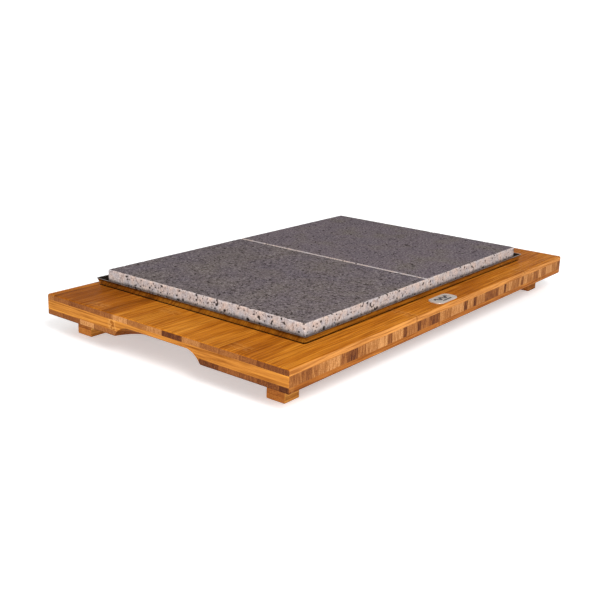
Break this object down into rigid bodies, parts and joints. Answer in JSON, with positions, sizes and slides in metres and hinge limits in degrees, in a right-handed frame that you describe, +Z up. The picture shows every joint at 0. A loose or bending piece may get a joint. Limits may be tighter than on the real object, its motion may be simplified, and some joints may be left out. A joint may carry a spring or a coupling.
{
  "type": "hot stone serving set",
  "caption": "Flat serving set: stone slabs side by side in a low flared steel tray, on a thick bamboo board with finger recesses and cube feet.",
  "frame": {"origin": "on the surface that the feet stand on, under the middle of the board", "axes": "+X along the board's long side, -Y towards the long side that carries the badge, +Z up"},
  "size_m": [0.53, 0.305, 0.0583],
  "materials": {
    "bamboo_lengthwise": "oiled caramel bamboo, grain along X",
    "bamboo_crosswise": "oiled caramel bamboo, grain along Y",
    "bamboo_foot": "oiled laminated bamboo",
    "screw_steel": "zinc-plated",
    "tray_steel": "mirror-polished stainless",
    "lava_stone": "sawn, honed, finely pored",
    "badge_metal": "satin"
  },
  "bodies": {
    "board": {"board_top_ply": "bamboo_lengthwise", "board_core_ply": "bamboo_crosswise", "board_bottom_ply": "bamboo_lengthwise", "foot_front_left": "bamboo_foot", "foot_front_right": "bamboo_foot", "foot_back_left": "bamboo_foot", "foot_back_right": "bamboo_foot", "foot_screws": "screw_steel", "badge": "badge_metal"},
    "tray": {"tray": "tray_steel"},
    "stone_left": {"stone_left": "lava_stone"},
    "stone_right": {"stone_right": "lava_stone"}
  },
  "joints": [
    {"name": "tray_lift", "type": "slide", "parent": "board", "child": "tray", "axis": [0, 0, 1], "range_m": [0, 0.05]},
    {"name": "stone_left_lift", "type": "slide", "parent": "tray", "child": "stone_left", "axis": [0, 0, 1], "range_m": [0, 0.06]},
    {"name": "stone_right_lift", "type": "slide", "parent": "tray", "child": "stone_right", "axis": [0, 0, 1], "range_m": [0, 0.06]}
  ]
}
